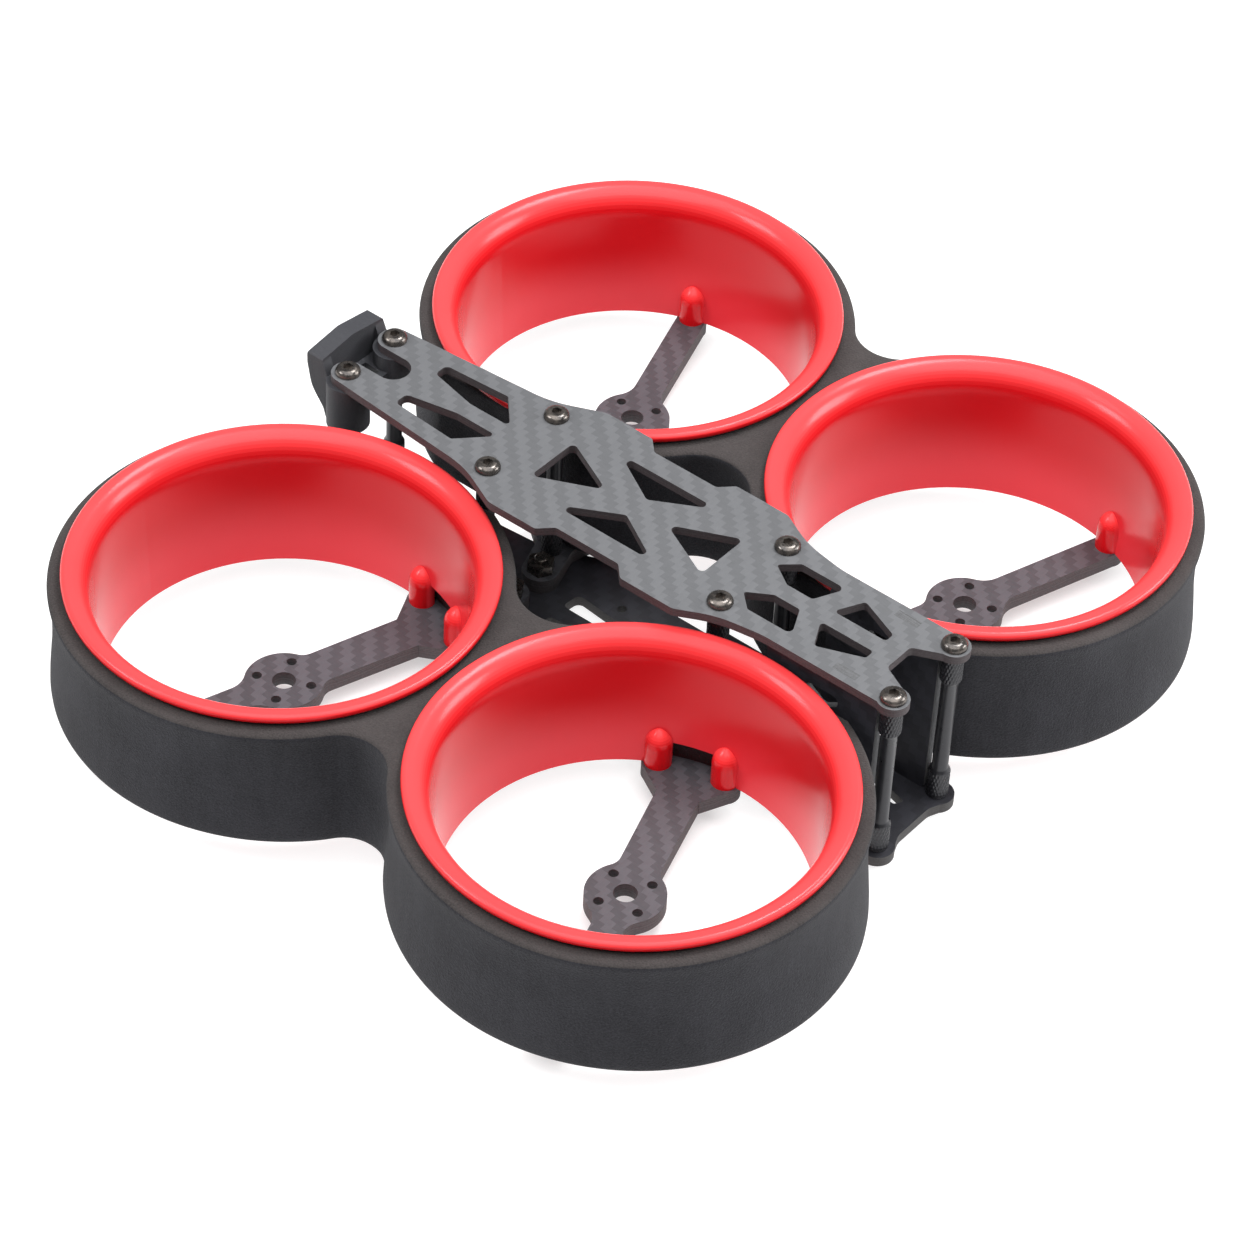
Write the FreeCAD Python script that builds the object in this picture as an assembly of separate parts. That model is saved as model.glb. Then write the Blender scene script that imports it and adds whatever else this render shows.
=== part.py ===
import FreeCAD, Part
import math
import os

from FreeCAD import Vector

# Ducted racing quadcopter airframe.
# Millimetres.  +X is the nose, +Y the left side, +Z up.  The origin is on the
# ground, under the middle of the four duct axes.

# ---- driving dimensions ----------------------------------------------------
DUCT_X = 47.0            # duct axis, forward of the middle
DUCT_Y = 58.4            # duct axis, out from the middle: a 150 mm wheelbase
ARM_ANGLE = math.atan(1.0 / 3.0)   # arm direction, away from straight sideways
POST_LENGTH = 40.0       # post from bottom plate to top plate
BOTTOM_THICK = 2.5
ARM_THICK = 3.5
TOP_THICK = 2.0
SIDE_THICK = 2.0         # camera plate
CAMERA_GAP = 19.0        # between the camera plates
DUCT_HEIGHT = 32.1       # arm top to the middle of the duct's lip

# button-head screws
M3_HEAD_R = 2.8
M3_HEAD_H = 1.65
M3_SHANK_R = 1.45
M3_HOLE_R = 1.6
M3_SOCKET = 2.0          # across flats
M2_HEAD_R = 1.9
M2_HEAD_H = 1.3
M2_SHANK_R = 0.95
M2_HOLE_R = 1.1
M2_SOCKET = 1.3

# heights
BOTTOM_Z = M3_HEAD_H                      # the frame stands on its lower screw heads
BOTTOM_TOP = BOTTOM_Z + BOTTOM_THICK
ARM_TOP = BOTTOM_TOP + ARM_THICK
LIP_Z = ARM_TOP + DUCT_HEIGHT
TOP_Z = BOTTOM_TOP + POST_LENGTH
TOP_TOP = TOP_Z + TOP_THICK

# post places, left side; the right side mirrors them
FRONT_POST = (75.2, 10.4)
MIDDLE_POST = (31.4, 11.3)
REAR_POST = (-74.4, 7.6)

# posts
POST_R = 1.75
GRIP_R = 2.4             # over the knurled bands
GRIP = 7.2               # length of the band at each end
REAR_GRIP = 13.5         # the rear pair's bands fill the antenna mount's sleeves
POST_HOLE = 7.0          # depth of the threaded holes

# duct
BORE_BOTTOM = 38.7       # inner radius at the arm
THROAT_R = 39.8          # inner radius below the lip
WALL = 1.5
LIP_BEAD = 1.1           # radius of the rolled edge
LIP_R = 45.9             # outer radius of the rolled edge
THROAT_Z = LIP_Z - 6.3
BOSS_CIRCLE = 39.1       # screw bosses, from the duct axis
BOSS_SPREAD = math.radians(11.0)   # inner bosses, either side of the arm
BOSS_R = 3.0
BOSS_H = 9.5
GATE_H = 6.2             # opening over the arm, between the inner bosses

# foam guard
FOAM_R = 48.4            # outer radius
FOAM_BORE = 41.5
FOAM_TOP = LIP_Z - 1.75
FOAM_INNER_Y = 14.5      # pressed flat along the body
WAIST_Y = 83.1           # outer edge between two ducts
LOBE_Y = 32.5            # inner edge between two ducts

# motor seat
MOTOR_R = 8.55
MOTOR_CIRCLE = 12.0      # bolt circle diameter
MOTOR_BORE_R = 2.55

# plates
FRONT_EAR = 3.5          # rounds of the plates over the posts
REAR_EAR = 3.7
TAB = (60.4, 66.3)       # camera plate tabs, along X
STACK = 20.0             # flight controller holes, square
NOSE_EDGE = 76.9         # front of the bottom plate

# antenna mount
MOUNT_HALF = 9.9         # half width
SLEEVE_R = 4.8
SLEEVE_LOW = LIP_Z - 8.2
RIM_TOP = LIP_Z + 8.6    # rim, halfway between its ends and its peak
FLOOR = (37.4, 40.4)     # bridge between the sleeves
WALL_BACK = -84.2
WALL_FRONT = -79.8

UP = Vector(0, 0, 1)
CORNERS = {"front_left": (1, 1), "front_right": (1, -1),
           "rear_left": (-1, 1), "rear_right": (-1, -1)}


# ---- general shapes --------------------------------------------------------
def rounded_wire(corners):
    """Closed wire in XY through corners (x, y, radius), rounded by arcs."""
    entries, exits, middles = [], [], []
    count = len(corners)
    for i, (x, y, radius) in enumerate(corners):
        here = Vector(x, y, 0)
        before = Vector(*corners[i - 1][:2], 0) - here
        after = Vector(*corners[(i + 1) % count][:2], 0) - here
        before.normalize()
        after.normalize()
        half = before.getAngle(after) / 2
        reach = radius / math.tan(half)
        towards = before + after
        if radius > 0:
            towards.normalize()
        entries.append(here + before * reach)
        exits.append(here + after * reach)
        middles.append(here + towards * (radius / math.sin(half) - radius))
    edges = []
    for i in range(count):
        if corners[i][2] > 0:
            edges.append(Part.Arc(entries[i], middles[i], exits[i]).toShape())
        start, end = exits[i], entries[(i + 1) % count]
        if (end - start).Length > 1e-6:
            edges.append(Part.LineSegment(start, end).toShape())
    return Part.Wire(edges)


def prism(corners, low, high):
    """Upright solid over a rounded outline."""
    face = Part.Face(rounded_wire(corners))
    face.translate(Vector(0, 0, low))
    return face.extrude(Vector(0, 0, high - low))


def rod(x, y, low, high, radius):
    return Part.makeCylinder(radius, high - low, Vector(x, y, low), UP)


def with_mirror(corners):
    """An outline's left half, followed by its mirrored right half."""
    return corners + [(x, -y, r) for x, y, r in reversed(corners)]


def flipped(corners):
    return [(x, -y, r) for x, y, r in reversed(corners)]


def mirrored(shape, sx, sy):
    """A front-left shape carried to the corner with signs sx, sy."""
    result = shape.copy()
    if sx < 0:
        result = result.mirror(Vector(0, 0, 0), Vector(1, 0, 0))
    if sy < 0:
        result = result.mirror(Vector(0, 0, 0), Vector(0, 1, 0))
    return result


def both_sides(place):
    x, y = place
    return [(x, y), (x, -y)]


def post_places():
    x, y = MIDDLE_POST
    return (both_sides(FRONT_POST) + both_sides(MIDDLE_POST)
            + both_sides((-x, y)) + both_sides(REAR_POST))


def turned(profile, x=0.0, y=0.0):
    """Solid of revolution of a closed profile in XZ about the upright axis."""
    solid = Part.Face(profile).revolve(Vector(0, 0, 0), UP, 360)
    solid.translate(Vector(x, y, 0))
    return solid


def line(a, b):
    return Part.LineSegment(Vector(a[0], 0, a[1]), Vector(b[0], 0, b[1])).toShape()


def arc(a, m, b):
    return Part.Arc(Vector(a[0], 0, a[1]), Vector(m[0], 0, m[1]),
                    Vector(b[0], 0, b[1])).toShape()


def hexagon(flats, low, high, x=0.0, y=0.0):
    radius = flats / math.sqrt(3)
    corners = [(x + radius * math.cos(math.radians(60 * i)),
                y + radius * math.sin(math.radians(60 * i)), 0) for i in range(6)]
    return prism(corners, low, high)


def save(name, shapes):
    solids = [solid for shape in shapes for solid in shape.Solids]
    result = solids[0] if len(solids) == 1 else Part.makeCompound(solids)
    result.exportStep("parts/%s.step" % name)
    box = result.BoundBox
    print("%-24s %2d solid(s) valid %s  %.1f x %.1f x %.1f"
          % (name, len(solids), result.isValid(), box.XLength, box.YLength, box.ZLength))


# ---- fasteners -------------------------------------------------------------
def button_screw(head_r, head_h, shank_r, socket, length):
    """Button-head screw, head up, with the underside of its head at z = 0."""
    rim = 0.3 * head_h
    crown = 0.45 * head_r
    profile = Part.Wire([
        line((0, -length), (shank_r - 0.2, -length)),
        line((shank_r - 0.2, -length), (shank_r, -length + 0.2)),
        line((shank_r, -length + 0.2), (shank_r, 0)),
        line((shank_r, 0), (head_r, 0)),
        line((head_r, 0), (head_r, rim)),
        arc((head_r, rim), (0.84 * head_r, 0.78 * head_h), (crown, head_h)),
        line((crown, head_h), (0, head_h)),
        line((0, head_h), (0, -length))])
    return turned(profile).cut(hexagon(socket, 0.35 * head_h, head_h + 1))


def placed(shape, places, z, upside_down=False):
    """Copies of an upright fastener at the given places and height."""
    copies = []
    for x, y in places:
        copy = shape.copy()
        if upside_down:
            copy.rotate(Vector(0, 0, 0), Vector(1, 0, 0), 180)
        copy.translate(Vector(x, y, z))
        copies.append(copy)
    return copies


def post(x, y, low, high, grip):
    """Round post with a grip band and a threaded hole at each end."""
    grip_r = GRIP_R
    body_r = POST_R
    ease = 0.25
    slope = 0.7
    profile = Part.Wire([
        line((0, low), (grip_r - ease, low)),
        line((grip_r - ease, low), (grip_r, low + ease)),
        line((grip_r, low + ease), (grip_r, low + grip)),
        line((grip_r, low + grip), (body_r, low + grip + slope)),
        line((body_r, low + grip + slope), (body_r, high - grip - slope)),
        line((body_r, high - grip - slope), (grip_r, high - grip)),
        line((grip_r, high - grip), (grip_r, high - ease)),
        line((grip_r, high - ease), (grip_r - ease, high)),
        line((grip_r - ease, high), (0, high)),
        line((0, high), (0, low))])
    shape = turned(profile, x, y)
    shape = shape.cut(rod(x, y, low - 1, low + POST_HOLE, M3_SHANK_R))
    return shape.cut(rod(x, y, high - POST_HOLE, high + 1, M3_SHANK_R))


# ---- plates ----------------------------------------------------------------
BODY_SIDE = [            # left edge, from the nose back
    (FRONT_POST[0], 13.3, 0),
    (44.0, 13.3, 25),
    (33.5, 15.0, 25),
    (25.3, 19.4, 3),
    (11.5, 19.4, 1.2),
    (8.4, 16.25, 1.2),
    (-8.4, 16.25, 1.2),
    (-11.5, 19.4, 1.2),
    (-24.2, 19.5, 4),
    (-35.5, 14.3, 25),
]


def post_holes(plate, low, high):
    for x, y in post_places():
        plate = plate.cut(rod(x, y, low - 1, high + 1, M3_HOLE_R))
    return plate


def tab_slots(plate, low, high):
    for side in (1, -1):
        inner = side * CAMERA_GAP / 2
        outer = side * (CAMERA_GAP / 2 + SIDE_THICK)
        y = min(inner, outer)
        slot = Part.makeBox(TAB[1] - TAB[0], SIDE_THICK, high - low + 2,
                            Vector(TAB[0], y, low - 1))
        plate = plate.cut(slot)
    return plate


def top_windows():
    """Openings of the top plate, as rounded outlines."""
    paired = [
        [(-60.1, 8.35, 1.3), (-43.4, 9.4, 0.8), (-36.6, 2.1, 0.8), (-47.9, 2.1, 2),
         (-60.1, 4.75, 1.3)],
        [(-13.4, 10.95, 1.0), (13.2, 10.95, 1.0), (0, 3.3, 1.2)],
        [(33.0, 5.6, 0.6), (36.9, 9.2, 0.8), (48.4, 9.2, 1.2), (45.0, 2.1, 0.8),
         (38.4, 2.1, 0.8)],
        [(50.4, 2.1, 0.8), (53.8, 8.8, 0.9), (63.9, 4.6, 0.9), (63.9, 2.1, 0.8)],
    ]
    nose = [(23.1, 7.2, 1.1), (23.1, -7.2, 1.1), (8.3, 0, 1.1)]
    tail = [(-x, -y, r) for x, y, r in nose]
    return paired + [flipped(window) for window in paired] + [nose, tail]


def top_plate():
    notch_x, notch_y = 68.8, 3.9
    half = ([(REAR_POST[0], REAR_POST[1] + REAR_EAR, 0)]
            + [corner for corner in reversed(BODY_SIDE)]
            + [(FRONT_POST[0], 7.0, 0), (notch_x, notch_y, 1.3)])
    tail_x, tail_r = -68.1, 3.9
    plate = prism(with_mirror(half), TOP_Z, TOP_TOP)
    for x, y in both_sides(FRONT_POST):
        plate = plate.fuse(rod(x, y, TOP_Z, TOP_TOP, FRONT_EAR))
    for x, y in both_sides(REAR_POST):
        plate = plate.fuse(rod(x, y, TOP_Z, TOP_TOP, REAR_EAR))
    tail = prism([(-90, tail_r, 0), (tail_x, tail_r, 0), (tail_x, -tail_r, 0),
                  (-90, -tail_r, 0)], TOP_Z - 1, TOP_TOP + 1)
    plate = plate.cut(tail).cut(rod(tail_x, 0, TOP_Z - 1, TOP_TOP + 1, tail_r))
    for window in top_windows():
        plate = plate.cut(prism(window, TOP_Z - 1, TOP_TOP + 1))
    plate = tab_slots(post_holes(plate, TOP_Z, TOP_TOP), TOP_Z, TOP_TOP)
    return plate.removeSplitter()


def bottom_plate():
    half = ([(-75.6, 4.2, 2), (REAR_POST[0], REAR_POST[1] + REAR_EAR, 0)]
            + [corner for corner in reversed(BODY_SIDE)]
            + [(NOSE_EDGE + 1.6, 9.0, 0), (NOSE_EDGE, 5.2, 4)])
    plate = prism(with_mirror(half), BOTTOM_Z, BOTTOM_TOP)
    for x, y in both_sides(FRONT_POST):
        plate = plate.fuse(rod(x, y, BOTTOM_Z, BOTTOM_TOP, FRONT_EAR + 0.3))
    for x, y in both_sides(REAR_POST):
        plate = plate.fuse(rod(x, y, BOTTOM_Z, BOTTOM_TOP, REAR_EAR))
    centre = [(-20.4, 2.2, 1.2), (-19.9, 7.3, 1.6), (-8.5, 6.2, 2), (0, 2.2, 0.5)]
    rear = [(-62.0, 2.2, 1), (-62.0, 7.4, 1.5), (-42.0, 9.0, 1.5), (-40.0, 2.2, 1)]
    nose = [(56.5, 1.6, 1), (56.5, 7.4, 1.5), (71.8, 3.6, 0.5), (70.6, 1.6, 0.5)]
    facing = [(-x, y, r) for x, y, r in reversed(centre)]
    for window in (centre, facing, rear, nose):
        plate = plate.cut(prism(window, BOTTOM_Z - 1, BOTTOM_TOP + 1))
        plate = plate.cut(prism(flipped(window), BOTTOM_Z - 1, BOTTOM_TOP + 1))
    for x in (STACK / 2, -STACK / 2):
        for y in (STACK / 2, -STACK / 2):
            plate = plate.cut(rod(x, y, BOTTOM_Z - 1, BOTTOM_TOP + 1, M2_HOLE_R))
    for x, y in lock_places():
        plate = plate.cut(rod(x, y, BOTTOM_Z - 1, BOTTOM_TOP + 1, M3_HOLE_R))
    plate = tab_slots(post_holes(plate, BOTTOM_Z, BOTTOM_TOP), BOTTOM_Z, BOTTOM_TOP)
    return plate.removeSplitter()


# ---- arms ------------------------------------------------------------------
# An arm is drawn with its motor at the origin and +X outwards along the arm.
ROOT_POST = math.hypot(DUCT_X - MIDDLE_POST[0], DUCT_Y - MIDDLE_POST[1])
ROOT_LOCK = ROOT_POST + 6.5        # second root screw
ROOT_HALF = 4.2
EAR_R = 3.5
INNER_BOSS = (-BOSS_CIRCLE * math.cos(BOSS_SPREAD), BOSS_CIRCLE * math.sin(BOSS_SPREAD))


def arm_point(u, v):
    """A place on the front-left arm, in the airframe's own frame."""
    s, c = math.sin(ARM_ANGLE), math.cos(ARM_ANGLE)
    return (DUCT_X + u * s - v * c, DUCT_Y + u * c + v * s)


def lock_places():
    x, y = arm_point(-ROOT_LOCK, 0)
    return [(sx * x, sy * y) for sx in (1, -1) for sy in (1, -1)]


def boss_places():
    """Screw bosses of the front-left duct."""
    u, v = INNER_BOSS
    return [arm_point(u, v), arm_point(u, -v), arm_point(BOSS_CIRCLE, 0)]


def corner_edges(shape, u, v):
    """Upright edges standing at (u, +-v)."""
    found = []
    for edge in shape.Edges:
        a, b = edge.Vertexes[0].Point, edge.Vertexes[-1].Point
        upright = abs(a.x - b.x) < 1e-6 and abs(a.y - b.y) < 1e-6 and abs(a.z - b.z) > 1
        if upright and abs(a.x - u) < 0.8 and abs(abs(a.y) - v) < 0.8:
            found.append(edge)
    return found


def arm():
    low, high = BOTTOM_TOP, ARM_TOP
    inner_near = 4.45                   # half widths: at the motor, at the fork, beyond the motor
    inner_far = 4.75
    outer_half = 3.4
    boss_u, boss_v = INNER_BOSS
    shape = rod(0, 0, low, high, MOTOR_R)
    inner = [(0, inner_near, 0), (boss_u, inner_far, 0)]
    shape = shape.fuse(prism(with_mirror(inner), low, high))
    web = [(boss_u + 8.0, inner_far, 0), (boss_u + 0.79 * EAR_R, boss_v + 0.61 * EAR_R, 0),
           (boss_u, boss_v, 0)]
    shape = shape.fuse(prism(with_mirror(web), low, high))
    outer = [(BOSS_CIRCLE, outer_half, 0), (0, outer_half, 0)]
    shape = shape.fuse(prism(with_mirror(outer), low, high))
    shape = shape.fuse(rod(BOSS_CIRCLE, 0, low, high, EAR_R))
    neck = [(boss_u + 0.5, boss_v + EAR_R - 0.03, 0), (-ROOT_POST + 2, ROOT_HALF, 4),
            (-ROOT_LOCK, ROOT_HALF, 0)]
    shape = shape.fuse(prism(with_mirror(neck), low, high))
    for side in (1, -1):
        shape = shape.fuse(rod(boss_u, side * boss_v, low, high, EAR_R))
    shape = shape.fuse(rod(-ROOT_LOCK, 0, low, high, ROOT_HALF)).removeSplitter()
    near_u = -math.sqrt(MOTOR_R ** 2 - inner_near ** 2)
    far_u = math.sqrt(MOTOR_R ** 2 - outer_half ** 2)
    shape = shape.makeFillet(3.5, corner_edges(shape, near_u, inner_near))
    shape = shape.makeFillet(5.5, corner_edges(shape, far_u, outer_half))
    holes = [(0, 0, MOTOR_BORE_R), (-ROOT_POST, 0, M3_HOLE_R), (-ROOT_LOCK, 0, M3_HOLE_R)]
    holes += [(boss_u, boss_v, M2_HOLE_R), (boss_u, -boss_v, M2_HOLE_R),
              (BOSS_CIRCLE, 0, M2_HOLE_R)]
    seat = MOTOR_CIRCLE / 2 * math.cos(math.radians(45))
    holes += [(a * seat, b * seat, M2_HOLE_R) for a in (1, -1) for b in (1, -1)]
    for u, v, radius in holes:
        shape = shape.cut(rod(u, v, low - 1, high + 1, radius))
    shape.rotate(Vector(0, 0, 0), UP, 90 - math.degrees(ARM_ANGLE))
    shape.translate(Vector(DUCT_X, DUCT_Y, 0))
    return shape


# ---- ducts and foam --------------------------------------------------------
def bell(start, end):
    """Smooth quarter turn from an upright start to a level end, in XZ."""
    lift = 0.6
    handle_a = (start[0], start[1] + lift * (end[1] - start[1]))
    handle_b = (end[0] - lift * (end[0] - start[0]), end[1])
    curve = Part.BezierCurve()
    curve.setPoles([Vector(p[0], 0, p[1]) for p in (start, handle_a, handle_b, end)])
    return curve.toShape()


def duct_boss():
    """Bullet-shaped screw boss at the origin, with its screw hole."""
    shoulder = 0.5 * BOSS_H
    tip = 0.12 * BOSS_R
    profile = Part.Wire([
        line((0, 0), (BOSS_R, 0)),
        line((BOSS_R, 0), (BOSS_R, shoulder)),
        arc((BOSS_R, shoulder), (0.78 * BOSS_R, 0.82 * BOSS_H), (tip, BOSS_H)),
        line((tip, BOSS_H), (0, BOSS_H)),
        line((0, BOSS_H), (0, 0))])
    return turned(profile).cut(rod(0, 0, -1, 0.55 * BOSS_H, M2_SHANK_R))


def duct_gate():
    """Space over the arm's root, left open by the duct wall."""
    u = INNER_BOSS[0]
    v = INNER_BOSS[1] - 0.3 * BOSS_R
    corners = [arm_point(a, b) + (0,) for a, b in ((u + 6, v), (u + 6, -v), (u - 6, -v), (u - 6, v))]
    return prism(corners, ARM_TOP - 1, ARM_TOP + GATE_H)


def duct():
    bead = LIP_R - LIP_BEAD
    top = LIP_Z + LIP_BEAD
    under = LIP_Z - LIP_BEAD
    barrel = THROAT_R + WALL
    profile = Part.Wire([
        line((BORE_BOTTOM, ARM_TOP), (THROAT_R, THROAT_Z)),
        bell((THROAT_R, THROAT_Z), (bead, top)),
        arc((bead, top), (LIP_R, LIP_Z), (bead, under)),
        bell((barrel, THROAT_Z - 1.0), (bead, under)),
        line((barrel, THROAT_Z - 1.0), (BORE_BOTTOM + WALL, ARM_TOP)),
        line((BORE_BOTTOM + WALL, ARM_TOP), (BORE_BOTTOM, ARM_TOP))])
    shape = turned(profile, DUCT_X, DUCT_Y).cut(duct_gate())
    limit = rod(DUCT_X, DUCT_Y, ARM_TOP, LIP_Z, BORE_BOTTOM + WALL)
    for x, y in boss_places():
        boss = duct_boss()
        boss.translate(Vector(x, y, ARM_TOP))
        shape = shape.fuse(boss.common(limit))
        shape = shape.cut(rod(x, y, ARM_TOP - 1, ARM_TOP + 0.55 * BOSS_H, M2_SHANK_R))
    return shape.removeSplitter()


def fillet_radius(reach, inward):
    """Radius of the arc that joins two neighbouring foam rings at y = reach."""
    drop = (DUCT_Y - reach) if inward else (reach - DUCT_Y)
    return (FOAM_R ** 2 - drop ** 2 - DUCT_X ** 2) / (2 * (drop - FOAM_R))


def foam_guard():
    """Left foam guard: two rings joined by a web with rounded ends."""
    low, high = ARM_TOP, FOAM_TOP
    outer_r = fillet_radius(WAIST_Y, False)
    inner_r = fillet_radius(LOBE_Y, True)
    outer_y, inner_y = WAIST_Y + outer_r, LOBE_Y - inner_r
    share = FOAM_R / (FOAM_R + outer_r)
    outer_touch = (DUCT_X * (1 - share), DUCT_Y + (outer_y - DUCT_Y) * share)
    share = FOAM_R / (FOAM_R + inner_r)
    inner_touch = (DUCT_X * (1 - share), DUCT_Y + (inner_y - DUCT_Y) * share)
    web = [(outer_touch[0], outer_touch[1], 0), (-outer_touch[0], outer_touch[1], 0),
           (-inner_touch[0], inner_touch[1], 0), (inner_touch[0], inner_touch[1], 0)]
    shape = prism(web, low, high)
    shape = shape.cut(rod(0, outer_y, low - 1, high + 1, outer_r))
    shape = shape.cut(rod(0, inner_y, low - 1, high + 1, inner_r))
    for sign in (1, -1):
        shape = shape.fuse(rod(sign * DUCT_X, DUCT_Y, low, high, FOAM_R))
    flare_low = FOAM_TOP - 5.4
    for sign in (1, -1):
        x = sign * DUCT_X
        shape = shape.cut(rod(x, DUCT_Y, low - 1, high + 1, FOAM_BORE))
        flare = Part.makeCone(FOAM_BORE, LIP_R - 0.6, high - flare_low,
                              Vector(x, DUCT_Y, flare_low), UP)
        shape = shape.cut(flare)
    body = Part.makeBox(400, FOAM_INNER_Y + 50, 100, Vector(-200, -50, 0))
    return shape.cut(body).removeSplitter()


# ---- camera plates and antenna mount ---------------------------------------
def camera_plate():
    """Left camera plate, drawn in XZ and stood on edge."""
    rear, front = 44.3, 72.4
    low, high = BOTTOM_TOP, TOP_Z
    corners = [
        (rear, low, 1), (TAB[0], low, 0), (TAB[0], BOTTOM_Z, 0), (TAB[1], BOTTOM_Z, 0),
        (TAB[1], low, 0), (front, low, 1), (front, high, 1), (TAB[1], high, 0),
        (TAB[1], TOP_TOP, 0), (TAB[0], TOP_TOP, 0), (TAB[0], high, 0), (rear, high, 1)]
    plate = prism(corners, 0, SIDE_THICK)
    pivot = (61.0, 24.0)
    slot_r, sweep = 9.0, math.radians(32)
    half = M2_HOLE_R

    def ray(radius, angle):
        return Vector(pivot[0] - radius * math.cos(angle),
                      pivot[1] + radius * math.sin(angle), -1)

    slot = Part.Wire([
        Part.Arc(ray(slot_r - half, -sweep), ray(slot_r - half, 0),
                 ray(slot_r - half, sweep)).toShape(),
        Part.LineSegment(ray(slot_r - half, sweep), ray(slot_r + half, sweep)).toShape(),
        Part.Arc(ray(slot_r + half, sweep), ray(slot_r + half, 0),
                 ray(slot_r + half, -sweep)).toShape(),
        Part.LineSegment(ray(slot_r + half, -sweep), ray(slot_r - half, -sweep)).toShape()])
    plate = plate.cut(Part.Face(slot).extrude(Vector(0, 0, SIDE_THICK + 2)))
    for angle in (sweep, -sweep):
        end = ray(slot_r, angle)
        plate = plate.cut(rod(end.x, end.y, -1, SIDE_THICK + 1, half))
    plate = plate.cut(rod(pivot[0], pivot[1], -1, SIDE_THICK + 1, M2_HOLE_R))
    for window in ([(51.0, 9.5, 1.5), (66.5, 9.5, 1.5), (58.5, 14.5, 1.5)],
                   [(51.0, 38.8, 1.5), (66.5, 38.8, 1.5), (58.5, 33.8, 1.5)]):
        plate = plate.cut(prism(window, -1, SIDE_THICK + 1))
    plate.rotate(Vector(0, 0, 0), Vector(1, 0, 0), 90)
    plate.translate(Vector(0, CAMERA_GAP / 2 + SIDE_THICK, 0))
    return plate.removeSplitter()


def mount_wall():
    """Rear wall of the antenna mount and the block that joins it to the posts."""
    side = [(WALL_BACK, RIM_TOP + 1, 0), (WALL_BACK, RIM_TOP - 3.2, 6), (-83.0, 39.2, 8),
            (-79.6, 34.8, 3), (-78.6, SLEEVE_LOW, 0), (-72.5, SLEEVE_LOW, 0),
            (-72.5, TOP_Z, 0), (-78.4, TOP_Z, 0), (WALL_FRONT, RIM_TOP - 1, 1),
            (WALL_FRONT, RIM_TOP + 1, 0)]
    wall = prism(side, -MOUNT_HALF, MOUNT_HALF)
    wall.rotate(Vector(0, 0, 0), Vector(1, 0, 0), 90)
    half = MOUNT_HALF
    arch = prism([(-half, 0, 0), (-half, RIM_TOP - 0.5, 0.6), (0, RIM_TOP + 0.9, 6),
                  (half, RIM_TOP - 0.5, 0.6), (half, 0, 0)], -100, -60)
    arch.rotate(Vector(0, 0, 0), UP, 90)
    arch.rotate(Vector(0, 0, 0), Vector(0, 1, 0), 90)
    return wall.common(arch)


def block(x0, x1, half_y, z0, z1):
    """Box centred on the middle plane."""
    return Part.makeBox(x1 - x0, 2 * half_y, z1 - z0, Vector(x0, -half_y, z0))


def antenna_mount():
    """Flexible hood round the rear posts, open above and below its floor."""
    shape = mount_wall()
    shape = shape.cut(block(WALL_FRONT, -60, 7.2, FLOOR[1], 60))
    shape = shape.cut(block(-90, -60, 3.0, 0, FLOOR[0]))
    ease = 0.9
    for x, y in both_sides(REAR_POST):
        shape = shape.fuse(rod(x, y, SLEEVE_LOW + ease, TOP_Z, SLEEVE_R))
        shape = shape.fuse(Part.makeCone(SLEEVE_R - ease, SLEEVE_R, ease,
                                         Vector(x, y, SLEEVE_LOW), UP))
    shape = shape.cut(block(-78.6, -74.2, 2.6, 0, FLOOR[1] + 1))
    for x, y in both_sides(REAR_POST):
        shape = shape.cut(rod(x, y, SLEEVE_LOW - 1, TOP_Z + 1, GRIP_R + 0.05))
    return shape.removeSplitter()


# ---- assembly --------------------------------------------------------------
def save_posts():
    x, y = MIDDLE_POST
    places = {"front": (FRONT_POST, BOTTOM_TOP, GRIP), "front_middle": ((x, y), ARM_TOP, GRIP),
              "rear_middle": ((-x, y), ARM_TOP, GRIP), "rear": (REAR_POST, BOTTOM_TOP, REAR_GRIP)}
    for name, (place, low, grip) in places.items():
        for side, sign in (("left", 1), ("right", -1)):
            shape = post(place[0], sign * place[1], low, TOP_Z, grip)
            save("%s_%s_post" % (name, side), [shape])


def save_fasteners():
    long_m3 = button_screw(M3_HEAD_R, M3_HEAD_H, M3_SHANK_R, M3_SOCKET, 8.0)
    save("top_plate_screws", placed(long_m3, post_places(), TOP_TOP))
    lower = placed(long_m3, both_sides(FRONT_POST) + both_sides(REAR_POST), BOTTOM_Z, True)
    middle = button_screw(M3_HEAD_R, M3_HEAD_H, M3_SHANK_R, M3_SOCKET, 12.0)
    x, y = MIDDLE_POST
    lower += placed(middle, both_sides((x, y)) + both_sides((-x, y)), BOTTOM_Z, True)
    save("bottom_plate_screws", lower)
    lock = button_screw(M3_HEAD_R, M3_HEAD_H, M3_SHANK_R, M3_SOCKET, 9.5)
    save("arm_lock_screws", placed(lock, lock_places(), BOTTOM_Z, True))
    nuts = []
    for x, y in lock_places():
        nut = hexagon(5.5, ARM_TOP, ARM_TOP + 2.4, x, y)
        nuts.append(nut.cut(rod(x, y, ARM_TOP - 1, ARM_TOP + 4, M3_SHANK_R)))
    save("arm_lock_nuts", nuts)


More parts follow.
